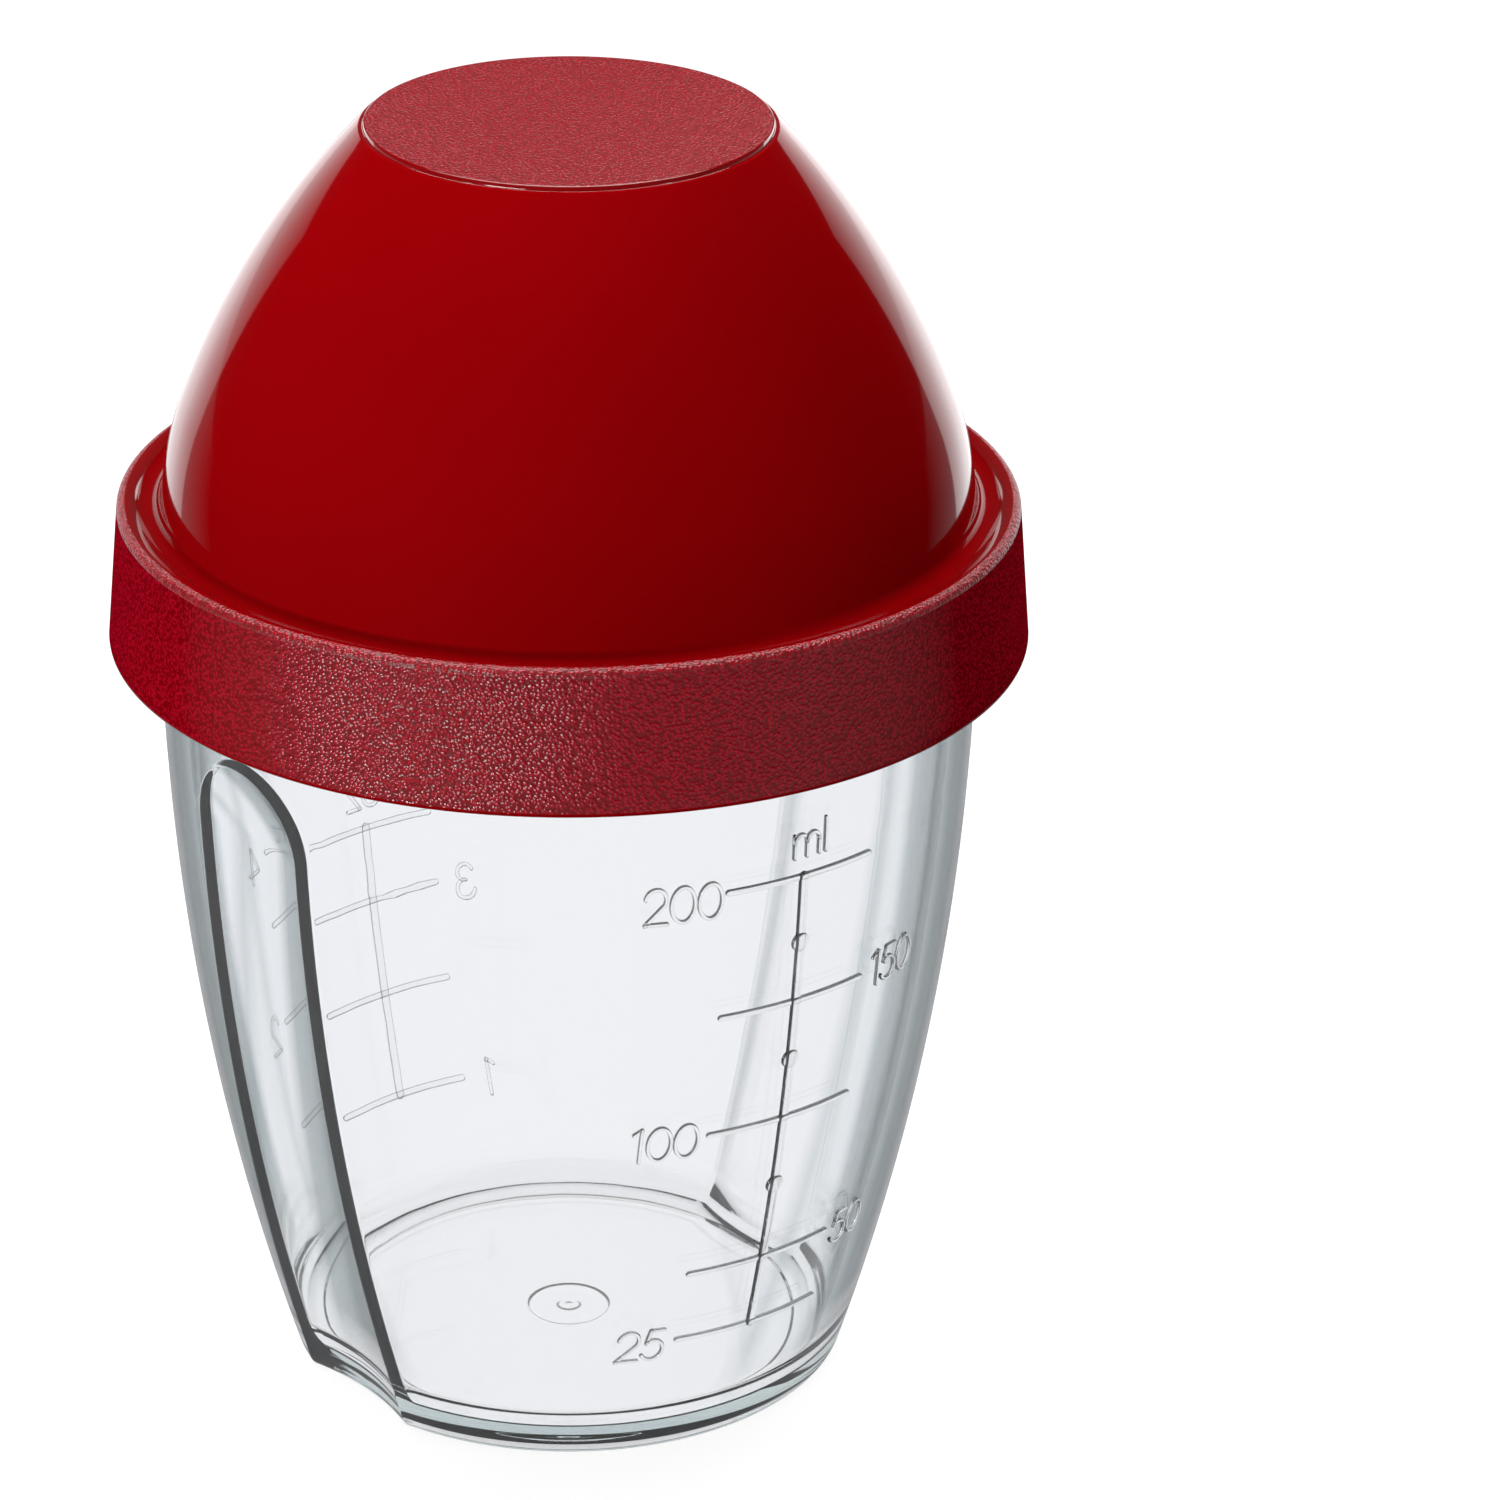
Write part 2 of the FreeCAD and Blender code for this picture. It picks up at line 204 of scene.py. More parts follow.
DOT_RADIUS = 0.00095
MARK_RISE = 0.00026
OZ_RISE = 0.00016
MARK_SINK = 0.0001

# Section of a raised stroke, as shares of its half width and of its rise, 0 standing for the sunk foot, and
# the turns at which its round ends are cut. Section of a dot, as shares of its radius and of its rise
STROKE_SIDE = np.array((-1, -0.99, -0.9, -0.75, -0.55, 0.55, 0.75, 0.9, 0.99, 1))
STROKE_LIFT = np.array((0, 0.1, 0.5, 0.85, 1, 1, 0.85, 0.5, 0.1, 0))
STROKE_ENDS = np.radians((90, 70, 50, 30, 15))
DOT_SECTION = np.array((
    (0, 1), (0.5, 1), (0.72, 0.97), (0.88, 0.82), (0.97, 0.55), (1, 0.2), (1, -0.26), (0, -0.26),
))

# Colours of the clear plastic, from face on at 0 to edge on at 1. Face on it is white with a faint blue;
# towards edge on the dark bands are painted shade that stands in for the dark edges of the wall
CUP_TINT_AND_EDGE_SHADE = (
    (0.0, (1.0, 1.0, 1.0)), (0.42, (0.99, 0.99, 1.0)), (0.46, (0.58, 0.63, 0.64)),
    (0.5, (0.93, 0.95, 0.95)), (0.59, (0.9, 0.93, 0.94)), (0.64, (0.3, 0.35, 0.35)),
    (0.7, (0.22, 0.27, 0.27)), (0.75, (0.1, 0.13, 0.13)), (0.83, (0.06, 0.08, 0.08)),
    (0.9, (0.2, 0.24, 0.24)), (1.0, (0.4, 0.45, 0.45)),
)
# Painted shade for the raised marks: a milder darkening of their colour where they are seen edge on
MARK_EDGE_SHADE = ((0.0, (1.0, 1.0, 1.0)), (1.0, (0.85, 0.9, 0.9)))
# Heights over the base between which the painted edge shade fades in
EDGE_SHADE_OFF_TO = 0.003
EDGE_SHADE_FULL_FROM = 0.011

# Camera at the photograph's angle
CAMERA_BEARING = math.radians(-128)
CAMERA_RISE = math.radians(24.377)
CAMERA_DISTANCE = 0.58297
CAMERA_AIM = Vector((0, 0, 0.06255))
CAMERA_LENS = 144.94
CAMERA_SENSOR = 36
CAMERA_SHIFT = 0.1208

# Studio. A soft box has its name, its bearing from the camera's and its rise in degrees, its distance, its
# sides, its power, and whether it is seen in reflections
FLOOR_HALF = 3.0
FLOOR_UP = -0.00005
FLOOR_PAINT = (0.25, 0.25, 0.25, 1)
FLOOR_GLOW = 0.88
FLOOR_THROUGH = (0.97, 0.97, 1.0, 1)
FLOOR_MIRRORED = 0.45
WORLD_LOW = 0.045
WORLD_HIGH = 0.003
WORLD_FADE = (0.4, 0.7)
SOFT_BOXES = (
    ("key_box", -75, 55, 0.75, (0.4, 0.4), 1.0, False),
    ("fill_box", 60, 35, 0.8, (0.4, 0.4), 0.7, False),
    ("front_box", -34, 3, 0.9, (0.34, 0.12), 4.8, True),
    ("top_box", 180, 76, 0.8, (1.1, 0.6), 10.0, True),
    ("left_box", -150, 2, 0.28, (0.2, 0.2), 0.13, True),
    ("right_box", 150, 2, 0.28, (0.2, 0.2), 0.19, True),
)


def grid_faces(rows, columns, first):
    """Quads of a grid whose columns close on themselves: each joins two rows and two columns."""
    index = first + np.arange(rows * columns).reshape(rows, columns)
    beside = np.roll(index, -1, axis=1)
    return np.stack((index[:-1], beside[:-1], beside[1:], index[1:]), axis=-1).reshape(-1, 4)


def make_piece(name, grids, materials, finish=None, sharp=30):
    """One mesh from grids of points (rows, columns, 3). Points that meet are merged, so that poles and seams
    close. The finish gives each face its material, and edges sharper than an angle in degrees stay sharp."""
    points = np.concatenate([grid.reshape(-1, 3) for grid in grids])
    firsts = np.cumsum([0] + [grid.shape[0] * grid.shape[1] for grid in grids])
    faces = np.concatenate([grid_faces(*grid.shape[:2], first) for grid, first in zip(grids, firsts)])
    mesh = bpy.data.meshes.new(name)
    mesh.from_pydata(points.tolist(), [], faces.tolist())
    for material in materials:
        mesh.materials.append(material)
    if finish is not None:
        mesh.polygons.foreach_set("material_index", np.ascontiguousarray(finish, dtype=np.int32))
    shape = bmesh.new()
    shape.from_mesh(mesh)
    bmesh.ops.remove_doubles(shape, verts=shape.verts, dist=1e-7)
    bmesh.ops.recalc_face_normals(shape, faces=shape.faces)
    shape.to_mesh(mesh)
    shape.free()
    mesh.polygons.foreach_set("use_smooth", np.ones(len(mesh.polygons), dtype=bool))
    mesh.set_sharp_from_angle(angle=math.radians(sharp))
    piece = bpy.data.objects.new(name, mesh)
    bpy.context.scene.collection.objects.link(piece)
    return piece


def arc(across, up, radius, start, end, steps):
    """Points (across, up) on a circle about a centre, from one angle to another in radians."""
    angle = np.linspace(start, end, steps + 1)
    return np.column_stack((across + radius * np.cos(angle), up + radius * np.sin(angle)))


def around(radius, turn, height):
    """Points at a radius, a turn about the axis and a height: x = r cos t, y = r sin t."""
    x, y, z = np.broadcast_arrays(radius * np.cos(turn), radius * np.sin(turn), height)
    return np.stack((x, y, z), axis=-1)


def spacing(count):
    """Even shares of the way from 0 to 1, without the 0."""
    return np.linspace(0, 1, count + 1)[1:]


def wall_radius(height, inset):
    """Radius of the cup's wall: an arc that is upright at the shoulder, and straight up above it."""
    drop = np.maximum(SHOULDER - height, 0)
    return WALL_CENTRE + np.sqrt((WALL_CURVE - inset) ** 2 - drop ** 2)


def soft_least(first, second, blend):
    """The lesser of two lengths, with the change from one to the other rounded over a short length."""
    return 0.5 * (first + second - np.sqrt((first - second) ** 2 + blend ** 2))


def swept_hollow(height, tilt, radius):
    """A grip's lower part: a round section swung on an arc. Across it y = radius sin tilt, and x is the
    arc's centre plus the root of the swing there squared less the drop from the shoulder squared."""
    swing = SCOOP_SWING - radius * np.cos(tilt)
    across = SCOOP_CENTRE + np.sqrt(swing ** 2 - (SHOULDER - height) ** 2)
    return np.stack(np.broadcast_arrays(across, radius * np.sin(tilt), height), axis=-1)


def egg_hollow(lift, tilt, radius, reach):
    """A grip's arched top: half an egg on the leaning end of the swung section, longer upwards than across.
    On it y = radius sin tilt cos lift, and the rise along the lean is reach sin tilt sin lift."""
    out = SCOOP_SWING - radius * np.cos(tilt)
    rise = reach * np.sin(tilt) * np.sin(lift)
    across = SCOOP_CENTRE + out * math.cos(ARCH_TURN) + rise * math.sin(ARCH_TURN)
    up = SHOULDER - out * math.sin(ARCH_TURN) + rise * math.cos(ARCH_TURN)
    return np.stack(np.broadcast_arrays(across, radius * np.sin(tilt) * np.cos(lift), up), axis=-1)


def edge_tilt(hollow, inset, count):
    """Tilt at which a hollow comes out through the cup's wall, found by halving."""
    low = np.zeros(count)
    high = np.full(count, WIDEST_TILT)
    for _ in range(HALVINGS):
        middle = (low + high) / 2
        place = hollow(middle)
        outside = np.hypot(place[..., 0], place[..., 1]) > wall_radius(place[..., 2], inset)
        high = np.where(outside, middle, high)
        low = np.where(outside, low, middle)
    return (low + high) / 2


def gripped_quarter(inset, floor, corner, low_levels):
    """A quarter of the cup's side from +X to +Y, from its floor to the shoulder, as a grid.
    Columns: across the grip, past its edge, round the plain wall. Rows: up the swung part, over the egg,
    past its edge, up to the shoulder. Where the edge's rows and columns cross, they share its points. A
    place outside the wall is drawn in to the wall, and the corner at the floor is drawn in by its round."""
    radius = SCOOP_RADIUS + inset
    reach = ARCH_REACH + inset
    turn = np.linspace(0, QUARTER, GRIP_COLUMNS + 1)
    beyond = np.array(EDGE_BEYOND)
    shares = np.concatenate((np.sin(turn), beyond))
    plain_share = spacing(PLAIN_COLUMNS)
    low_top = low_levels[-1]
    levels = np.concatenate((low_levels, low_top + spacing(SWEPT_ROWS) * (SWEPT_TOP - low_top)))
    low_edge = edge_tilt(lambda tilt: swept_hollow(levels, tilt, radius), inset, len(levels))
    swept = swept_hollow(levels[:, None], low_edge[:, None] * shares, radius)

    def edge_at(lift):
        """Tilt of the egg's edge at each lift."""
        flat = lift.reshape(-1)
        tilt = edge_tilt(lambda tilt: egg_hollow(flat, tilt, radius, reach), inset, flat.size)
        return tilt.reshape(lift.shape)

    joint = egg_hollow(0.0, edge_at(np.zeros(1)) * shares, radius, reach)
    below = np.concatenate((swept, joint[None]))
    start = np.arctan2(below[:, -1, 1], below[:, -1, 0])[:, None]
    bearing = start + plain_share * (QUARTER - start)
    height = below[:, -1:, 2]
    plain = around(wall_radius(height, inset), bearing, height)
    below = np.concatenate((below, plain), axis=1)

    fill = np.sin(spacing(EGG_ROWS) * QUARTER)[:, None]
    lift = np.arctan2(fill * np.cos(turn), np.broadcast_to(np.sin(turn), (len(fill), len(turn))))
    tilt = np.hypot(np.sin(turn), fill * np.cos(turn)) * edge_at(lift)
    egg = egg_hollow(lift, tilt, radius, reach)
    beside = np.broadcast_to(below[-1:, len(turn):], (len(fill), below.shape[1] - len(turn), 3))
    over = np.concatenate((egg, beside), axis=1)

    arch = egg_hollow(QUARTER - turn, beyond[:, None] * edge_at(QUARTER - turn), radius, reach)
    step = np.arange(len(beyond))
    crossing = joint[len(turn):][np.maximum(step[:, None], step[None, :])]
    beside = np.broadcast_to(plain[-1:], (len(beyond), len(plain_share), 3))
    past = np.concatenate((arch, crossing, beside), axis=1)

    grid = np.concatenate((below, over, past))
    distance = np.hypot(grid[..., 0], grid[..., 1])
    drawn_in = soft_least(distance, wall_radius(grid[..., 2], inset), EDGE_SOFT)
    grid[..., :2] *= (drawn_in / distance)[..., None]
    edge = grid[-1]
    height = edge[:, 2] + spacing(ARCH_ROWS)[:, None] * (SHOULDER - edge[:, 2])
    above = around(wall_radius(height, inset), np.arctan2(edge[:, 1], edge[:, 0]), height)
    grid = np.concatenate((grid, above))
    distance = np.hypot(grid[..., 0], grid[..., 1])
    sag = np.clip(corner - (grid[..., 2] - floor), 0, corner)
    drawn = corner - np.sqrt(corner ** 2 - sag ** 2)
    grid[..., :2] *= (1 - drawn / distance)[..., None]
    return grid


def all_round(quarter):
    """A quarter grid from +X to +Y carried round by mirroring it in X, in both, and in Y."""
    return np.concatenate((
        quarter[:, :-1],
        (quarter * (-1, 1, 1))[:, :0:-1],
        (quarter * (-1, -1, 1))[:, :-1],
        (quarter * (1, -1, 1))[:, :0:-1],
    ), axis=1)


def spokes(edge, profile):
    """Rows of points at the radii and heights of a profile, on the bearings of an edge row."""
    turn = np.arctan2(edge[:, 1], edge[:, 0])
    return around(profile[:, :1], turn, profile[:, 1:])


def make_cup(material):
    """The clear cup as one closed grid: underside, foot, outside, rim, inside, floor."""
    turn = np.radians(np.concatenate((np.linspace(0, 60, 9), (68, 76, 84, 90))))
    outer_levels = np.concatenate((BASE_ROUND * (1 - np.cos(turn)), OUTER_LEVELS))
    inner_levels = np.concatenate((FLOOR_HEIGHT + FLOOR_ROUND * (1 - np.cos(turn)), INNER_LEVELS))
    outside = gripped_quarter(0, 0, BASE_ROUND, outer_levels)
    inside = gripped_quarter(CUP_WALL, FLOOR_HEIGHT, FLOOR_ROUND, inner_levels)
    bore = NECK_RADIUS - CUP_WALL
    straight = NECK_HEIGHT - RIM_ROUND
    rim = np.concatenate((
        np.column_stack((np.full(NECK_ROWS, NECK_RADIUS), SHOULDER + spacing(NECK_ROWS) * straight)),
        arc(NECK_RADIUS - RIM_ROUND, CUP_HEIGHT - RIM_ROUND, RIM_ROUND, 0, QUARTER, 6)[1:],
        arc(bore + RIM_ROUND, CUP_HEIGHT - RIM_ROUND, RIM_ROUND, QUARTER, math.pi, 6),
    ))
    share = spacing(BORE_ROWS)[:-1, None]
    top_turn = np.arctan2(outside[-1, :, 1], outside[-1, :, 0])
    bore_turn = np.arctan2(inside[-1, :, 1], inside[-1, :, 0])
    turn_in = top_turn + share * (bore_turn - top_turn)
    neck_in = around(bore, turn_in, CUP_HEIGHT - RIM_ROUND - share * straight)
    floor_share = np.array(FLOOR_SHARES)[:, None, None]
    quarter = np.concatenate((
        spokes(outside[0], np.array(UNDERSIDE)),
        outside,
        spokes(outside[-1], rim),
        neck_in,
        inside[::-1],
        inside[:1] * (1, 1, 0) * floor_share + (0, 0, FLOOR_HEIGHT),
    ))
    return make_piece("clear_cup", [all_round(quarter)], [material])


def dome_profile(inset, steps):
    """The dome's side from its foot to the flat top's edge: two arcs that touch, offset inwards by an inset.
    Without an inset it ends in the small round below the step."""
    turn_x = DOME_FOOT - LOW_ACROSS
    turn_up = DOME_FOOT_UP + LOW_CLIMB
    back = turn_x - DISC_RADIUS
    rise = LID_TOP - turn_up
    lean = (back * (LOW_CURVE - LOW_ACROSS) - rise * LOW_CLIMB) / LOW_CURVE
    high_curve = (back ** 2 + rise ** 2) / (2 * lean)
    high_x = turn_x - (LOW_CURVE - LOW_ACROSS) * high_curve / LOW_CURVE
    high_up = turn_up - LOW_CLIMB * high_curve / LOW_CURVE
    meet = math.atan2(LOW_CLIMB, LOW_CURVE - LOW_ACROSS)
    low = arc(DOME_FOOT - LOW_CURVE, DOME_FOOT_UP, LOW_CURVE - inset, 0, meet, steps)
    if inset:
        top = LID_TOP - inset
        end = math.asin((top - high_up) / (high_curve - inset))
        return np.concatenate((low, arc(high_x, high_up, high_curve - inset, meet, end, steps)[1:]))
    edge_up = LID_TOP - DISC_STEP - DISC_ROUND
    end = math.asin((edge_up - high_up) / (high_curve - DISC_ROUND))
    edge = high_x + (high_curve - DISC_ROUND) * math.cos(end)
    high = arc(high_x, high_up, high_curve, meet, end, steps)[1:]
    return np.concatenate((low, high, arc(edge, edge_up, DISC_ROUND, end, QUARTER, 8)[1:]))


def gutter_profile():
    """The rim's crest, its brow and the gutter between it and the dome: a quarter round, a hollow S of two
    equal arcs that touch, and a round that touches the gutter's bottom and the dome's lower arc."""
    crest = RIM_RADIUS - RIM_ROUND_OUT
    bottom_up = RIM_TOP - GUTTER_DEPTH
    round_up = bottom_up + GUTTER_ROUND - DOME_FOOT_UP
    round_out = math.sqrt((LOW_CURVE + GUTTER_ROUND) ** 2 - round_up ** 2)
    bottom = DOME_FOOT - LOW_CURVE + round_out
    touch = math.pi + math.atan2(round_up, round_out)
    sweep = 2 * math.atan2(GUTTER_DEPTH, crest - bottom)
    curve = (crest - bottom) / (2 * math.sin(sweep))
    outer = arc(crest, RIM_TOP - RIM_ROUND_OUT, RIM_ROUND_OUT, 0, QUARTER, GUTTER_STEPS)[1:]
    brow = arc(crest, RIM_TOP - curve, curve, QUARTER, QUARTER + sweep, GUTTER_STEPS)[1:]
    hollow = arc(bottom, bottom_up + curve, curve, sweep - QUARTER, -QUARTER, GUTTER_STEPS)[1:]
    climb = arc(bottom, bottom_up + GUTTER_ROUND, GUTTER_ROUND, 3 * QUARTER, touch, CLIMB_STEPS)[1:]
    return outer, brow, np.concatenate((hollow, climb))


def make_lid(finishes):
    """The lid as one closed profile turned round the axis: inside, seat, skirt, band, rim, gutter, dome and
    flat top. Each part of the profile has the number of its finish."""
    gloss, grain, polish, plain_grain = range(len(finishes))
    inside = dome_profile(LID_WALL, INSIDE_STEPS)[::-1]
    top_in = np.column_stack((inside[0, 0] * np.linspace(0, 0.9, 5), np.full(5, inside[0, 1])))
    bore = DOME_FOOT - LID_WALL
    seat = np.array(((bore, SEAT + SEAT_ROUND), (bore + SEAT_ROUND, SEAT), (SKIRT_BORE - SKIRT_ROUND, SEAT)))
    share = np.linspace(0, 1, 6)[:, None]
    low_up = LID_FOOT + BAND_ROUND
    skirt = (1 - share) * (SKIRT_BORE, SEAT - SKIRT_ROUND) + share * (SKIRT_MOUTH, low_up)
    lower = np.concatenate((
        arc(SKIRT_MOUTH + BAND_ROUND, low_up, BAND_ROUND, 2 * QUARTER, 3 * QUARTER, 5)[1:],
        arc(BAND_RADIUS - BAND_ROUND, low_up, BAND_ROUND, 3 * QUARTER, 4 * QUARTER, 5),
    ))
    share = spacing(8)[:, None]
    band = (1 - share) * lower[-1] + share * (RIM_RADIUS, RIM_TOP - RIM_ROUND_OUT)
    crest, brow, gutter = gutter_profile()
    dome = dome_profile(0, DOME_STEPS)
    dome = dome[dome[:, 1] > gutter[-1, 1] + DOME_CLEAR]
    step = (dome[-1, 0], LID_TOP) - np.array(DISC_EDGE)
    disc = np.column_stack((step[-1, 0] * np.linspace(0.99, 0, 12), np.full(12, LID_TOP)))
    parts = (
        (top_in, gloss), (inside, gloss), (seat, gloss), (skirt, gloss), (lower, gloss), (band, grain),
        (crest, plain_grain), (brow, polish), (gutter, gloss), (dome, gloss), (step, polish),
        (disc, plain_grain),
    )
    profile = np.concatenate([part for part, _ in parts])
    finish = np.concatenate([np.full(len(part), number) for part, number in parts])[1:]
    turn = np.linspace(0, 2 * math.pi, LID_COLUMNS, endpoint=False)
    grid = around(profile[:, :1], turn, profile[:, 1:])
    return make_piece("lid_shell", [grid], finishes, np.repeat(finish, LID_COLUMNS))


def helix_ridge(start_turn, start_up, base, crest):
    """A thread's ridge: a rounded wedge section carried along a helix, its height swelling from almost
    nothing at the ends as the root of the distance."""
    share = np.linspace(0, 1, THREAD_ROWS + 1)[:, None]
    turn = start_turn + share * THREAD_ARC
    up = start_up + THREAD_LEAD * share * THREAD_ARC / (2 * math.pi)
    swell = np.clip(np.sqrt(np.minimum(share, 1 - share) / THREAD_RUN_OUT), THREAD_LEAST_RISE, 1)
    out = THREAD_SECTION[:, 0]
    reach = base + (crest - base) * np.where(out > 0, out * swell, out)
    height = up + THREAD_SECTION[:, 1] * THREAD_HALF * np.clip(swell, THREAD_LEAST_WIDTH, 1)
    return around(reach, turn, height)


def closed_ends(grid):
    """A tube-like grid with each end drawn in to one point, so that the ends close."""
    first = np.broadcast_to(grid[:1].mean(axis=1, keepdims=True), grid[:1].shape)
    last = np.broadcast_to(grid[-1:].mean(axis=1, keepdims=True), grid[-1:].shape)
    return np.concatenate((first, grid, last))


def make_thread(name, base, crest, start_up, start_turn, material):
    """Equal ridges, one for each start of the thread."""
    starts = start_turn + np.arange(THREAD_STARTS) * 2 * math.pi / THREAD_STARTS
    ridges = [closed_ends(helix_ridge(start, start_up, base, crest)) for start in starts]
    return make_piece(name, ridges, [material], sharp=50)


def bow(centre, radii, start, end):
    """Part of an ellipse in a numeral's own square, from one angle to another in degrees."""
    angle = np.radians(np.linspace(start, end, 41))
    return np.column_stack((centre[0] + radii[0] * np.cos(angle), centre[1] + radii[1] * np.sin(angle)))


def line(start, end, steps=8):
    """A straight stroke, with points along it so that it bends with the wall."""
    share = np.linspace(0, 1, steps + 1)[:, None]
    return (1 - share) * np.array(start) + share * np.array(end)


# Numerals and letters as strokes on a square whose side is the height of a numeral: width, strokes
GLYPHS = {
    "0": (0.66, [bow((0.33, 0.5), (0.31, 0.5), 90, 450)]),
    "1": (0.34, [line((0.24, 0), (0.24, 1)), line((0.24, 1), (0.04, 0.86))]),
    "2": (0.62, [
        np.concatenate((bow((0.3, 0.7), (0.27, 0.3), 172, -32), line((0.529, 0.541), (0.03, 0.0))[1:])),
        line((0.03, 0), (0.6, 0)),
    ]),
    "3": (0.58, [bow((0.26, 0.75), (0.24, 0.25), 160, -90), bow((0.26, 0.26), (0.28, 0.26), 90, -160)]),
    "4": (0.64, [
        line((0.46, 0), (0.46, 1)), line((0.46, 1), (0.02, 0.27)), line((0.02, 0.27), (0.62, 0.27)),
    ]),
    "5": (0.6, [
        line((0.53, 1), (0.17, 1)), line((0.17, 1), (0.1, 0.57)), bow((0.28, 0.33), (0.29, 0.33), 128, -150),
    ]),
    "m": (0.86, [
        line((0.06, 0), (0.06, 0.62)), bow((0.25, 0.42), (0.19, 0.2), 180, 0), line((0.44, 0.42), (0.44, 0)),
        bow((0.63, 0.42), (0.19, 0.2), 180, 0), line((0.82, 0.42), (0.82, 0)),
    ]),
    "l": (0.2, [line((0.1, 0), (0.1, 0.92))]),
    "o": (0.66, [bow((0.33, 0.31), (0.3, 0.31), 90, 450)]),
    "z": (0.52, [
        line((0.04, 0.62), (0.48, 0.62)), line((0.48, 0.62), (0.04, 0)), line((0.04, 0), (0.48, 0)),
    ]),
}


def raised_stroke(path, width, bearing, rise):
    """A raised rib on the cup's wall: a flat-topped section with rounded edges, carried along a path on the
    wall. Across the path it is square to it, its ends are round, and the wall's bearing at a place is that
    of the scale plus the distance sideways over the radius."""
    if np.allclose(path[0], path[-1]):
        run = path[:-1]
        ahead = np.roll(run, -1, axis=0) - np.roll(run, 1, axis=0)
        ahead = np.concatenate((ahead, ahead[:1]))
        ahead /= np.linalg.norm(ahead, axis=1, keepdims=True)
        path = np.concatenate((run, run[:1]))
        spread = np.ones(len(path))
    else:
        ahead = np.gradient(path, axis=0)
        ahead /= np.linalg.norm(ahead, axis=1, keepdims=True)
        count = len(STROKE_ENDS)
        back = path[0] - ahead[0] * (width / 2 * np.sin(STROKE_ENDS))[:, None]
        front = path[-1] + ahead[-1] * (width / 2 * np.sin(STROKE_ENDS[::-1]))[:, None]
        spread = np.concatenate((np.cos(STROKE_ENDS), np.ones(len(path)), np.cos(STROKE_ENDS[::-1])))
        path = np.concatenate((back, path, front))
        first = np.repeat(ahead[:1], count, axis=0)
        last = np.repeat(ahead[-1:], count, axis=0)
        ahead = np.concatenate((first, ahead, last))
    side = np.column_stack((ahead[:, 1], -ahead[:, 0]))
    place = path[:, None] + side[:, None] * (STROKE_SIDE * width / 2 * spread[:, None])[..., None]
    wall = wall_radius(place[..., 1], 0)
    lift = np.where(STROKE_LIFT > 0, STROKE_LIFT * rise, -MARK_SINK)
    return around(wall + lift, bearing + place[..., 0] / wall, place[..., 1])


def raised_dot(up, bearing, rise):
    """A raised round dot on a scale's upright rib: a flat-topped section with a rounded edge, turned about
    its centre."""
    turn = np.linspace(0, 2 * math.pi, 40, endpoint=False)
    side = DOT_RADIUS * DOT_SECTION[:, :1] * np.cos(turn)
    height = up + DOT_RADIUS * DOT_SECTION[:, :1] * np.sin(turn)
    wall = wall_radius(height, 0)
    return around(wall + rise * DOT_SECTION[:, 1:], bearing + side / wall, height)


def label(words, centre, bearing, rise):
    """The strokes of a number or word, centred at a place (sideways, height) on the wall."""
    widths = [GLYPHS[letter][0] * DIGIT_HEIGHT for letter in words]
    gap = DIGIT_GAP * DIGIT_HEIGHT
    lefts = centre[0] - (sum(widths) + gap * (len(words) - 1)) / 2 + np.cumsum([0] + widths[:-1])
    lefts = lefts + gap * np.arange(len(words))
    foot = centre[1] - DIGIT_HEIGHT / 2
    return [
        raised_stroke(stroke * DIGIT_HEIGHT + (left, foot), DIGIT_STROKE, bearing, rise)
        for letter, left in zip(words, lefts)
        for stroke in GLYPHS[letter][1]
    ]


def make_scale(name, lines, dots, labels, unit, bearing, rise, material):
    """A raised scale: cross lines, an upright rib, round dots between the lines, numbers and the unit."""
    heights = list(lines.values())
    ribs = []
    for up in heights:
        ribs.append(raised_stroke(line((-LINE_HALF, up), (LINE_HALF, up)), LINE_WIDTH, bearing, rise))
    ribs.append(raised_stroke(line((0, min(heights)), (0, max(heights)), 40), UPRIGHT_WIDTH, bearing, rise))
    ribs += [raised_dot(up, bearing, rise) for up in dots]
    for number, (side, drop) in labels.items():
        ribs += label(str(number), (side, lines[number] - drop), bearing, rise)
    ribs += label(*unit, bearing, rise)
    return make_piece(name, ribs, [material], sharp=40)


def node(tree, kind, **values):
    """A shader node with its options and input values."""
    made = tree.nodes.new(kind)
    for name, value in values.items():
        if name in made.inputs:
            made.inputs[name].default_value = value
        else:
            setattr(made, name, value)
    return made


def new_material(name):
    """An empty node material with its principled shader and the object's own coordinates."""
    material = bpy.data.materials.new(name)
    material.use_nodes = True
    tree = material.node_tree
    shader = tree.nodes["Principled BSDF"]
    place = tree.nodes.new("ShaderNodeTexCoord")
    return material, tree, shader, place.outputs["Object"]


def ramp(tree, source, stops):
    """A colour ramp fed by a value, with its stops as (position, colour)."""
    made = node(tree, "ShaderNodeValToRGB")
    elements = made.color_ramp.elements
    while len(elements) < len(stops):
        elements.new(0.5)
    for element, (position, colour) in zip(elements, stops):
        element.position = position
        element.color = (*colour, 1)
    tree.links.new(source, made.inputs["Fac"])
    return made.outputs["Color"]


def span(tree, source, low, high, start=0.0, end=1.0):
    """A value between a start and an end moved to a range, and held at the range's ends beyond them."""
    made = node(tree, "ShaderNodeMapRange")
    made.inputs["From Min"].default_value = start
    made.inputs["From Max"].default_value = end
    made.inputs["To Min"].default_value = low
    made.inputs["To Max"].default_value = high
    tree.links.new(source, made.inputs["Value"])
    return made.outputs["Result"]


def noise(tree, place, scale, detail):
    """A cloudy value from 0 to 1."""
    made = node(tree, "ShaderNodeTexNoise", Scale=scale, Detail=detail)
    tree.links.new(place, made.inputs["Vector"])
    return made.outputs["Fac"]


def bump(tree, shader, height, strength, distance):
    """A bump given to a shader's surface. Its normal is returned."""
    made = node(tree, "ShaderNodeBump", Strength=strength, Distance=distance)
    tree.links.new(height, made.inputs["Height"])
    tree.links.new(made.outputs["Normal"], shader.inputs["Normal"])
    return made.outputs["Normal"]


